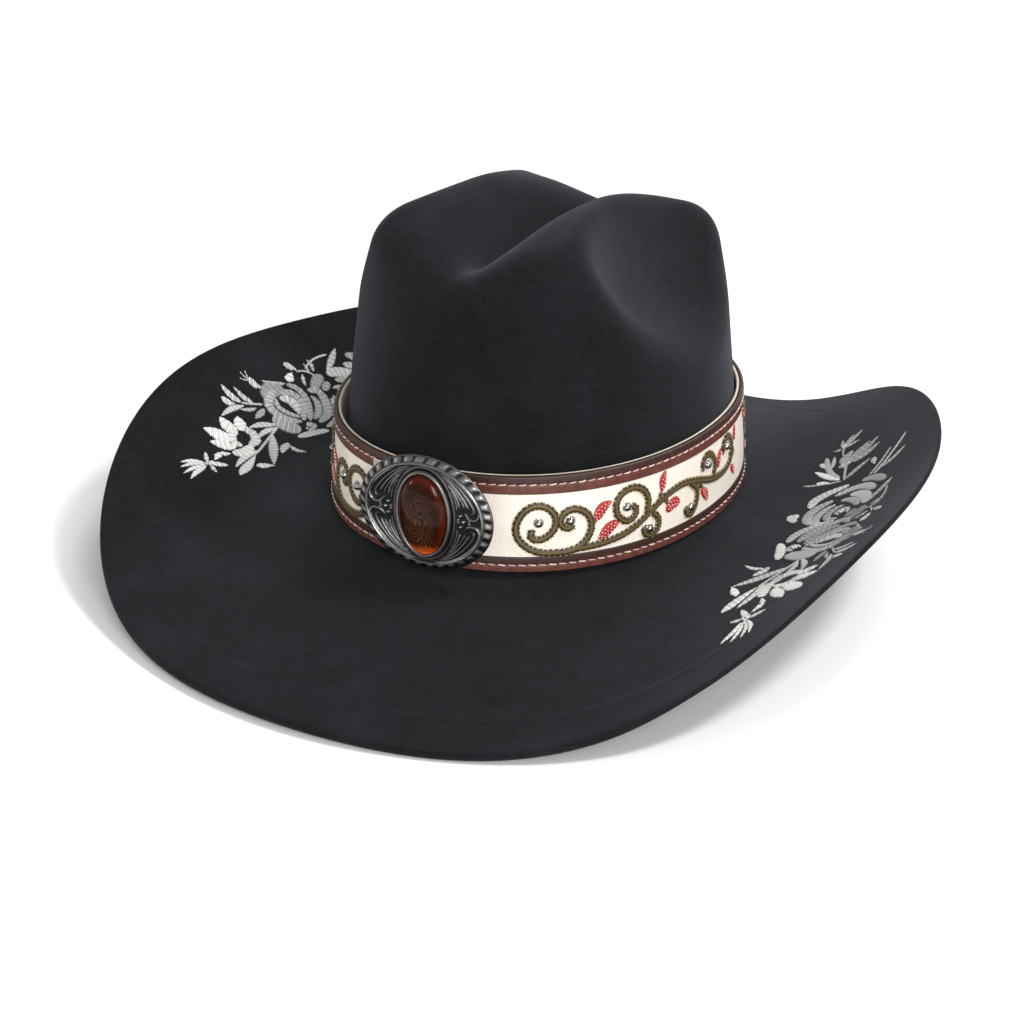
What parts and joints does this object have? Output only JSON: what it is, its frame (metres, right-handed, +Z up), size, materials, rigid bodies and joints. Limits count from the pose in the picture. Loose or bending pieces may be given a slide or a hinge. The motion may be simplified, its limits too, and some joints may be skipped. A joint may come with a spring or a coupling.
{
  "type": "western hat",
  "caption": "Wide-brimmed black suede western hat with a creased crown, curled embroidered brim, and a leather band carrying a hinged oval buckle with an amber stone.",
  "frame": {"origin": "middle of the hat's box in X and Y, on the surface that the lowest points of the brim rest on", "axes": "+Z up, front of the hat towards -Y, the wearer's left towards +X"},
  "size_m": [0.374, 0.4156, 0.1749],
  "materials": {
    "suede": "short-nap black faux suede",
    "stiffener": "dense grey stiffened felt",
    "satin": "black satin lining",
    "sweat_leather": "smooth dark brown leather",
    "reed": "dark brown leather piping",
    "ribbon": "dark grosgrain ribbon",
    "silver_thread": "silver-grey satin embroidery thread",
    "cream_leather": "pebbled cream leather",
    "backing_leather": "plain cream backing leather",
    "brown_leather": "semi-gloss red-brown leather binding",
    "pink_thread": "pale pink stitching thread",
    "olive_thread": "olive and gold chain-stitch thread",
    "red_thread": "red and white embroidery thread",
    "stud_steel": "polished small studs",
    "pewter": "antiqued gunmetal casting with polished high spots",
    "bright_steel": "plain nickel-plated steel",
    "amber": "translucent polished red-brown amber resin"
  },
  "bodies": {
    "hat": {"crown_cover": "suede", "crown_form": "stiffener", "crown_lining": "satin", "brim_top_skin": "suede", "brim_core": "stiffener", "brim_under_skin": "suede", "brim_edge_stay": "stiffener", "sweatband": "sweat_leather", "sweatband_reed": "reed", "sweatband_bow": "ribbon", "rose_embroidery_left": "silver_thread", "rose_embroidery_right": "silver_thread"},
    "band": {"band_strap": "cream_leather", "band_backing": "backing_leather", "band_trim_upper": "brown_leather", "band_trim_lower": "brown_leather", "stitching_upper": "pink_thread", "stitching_lower": "pink_thread", "vine_embroidery": "olive_thread", "leaf_embroidery": "red_thread", "band_studs": "stud_steel", "strap_fold": "backing_leather", "fold_snaps": "bright_steel", "hook_eyelet": "bright_steel"},
    "buckle": {"buckle_plate": "pewter", "stone_bezel": "pewter", "stone": "amber", "buckle_bail": "bright_steel", "buckle_hook": "bright_steel"}
  },
  "joints": [
    {"name": "band_lift", "type": "slide", "parent": "hat", "child": "band", "axis": [0, 0, 1], "range_m": [0, 0.152]},
    {"name": "buckle_swing", "type": "hinge", "parent": "band", "child": "buckle", "pos_m": [-0.01172, -0.10504, 0.0619], "axis": [0, 0, -1], "range_deg": [0, 32]}
  ]
}
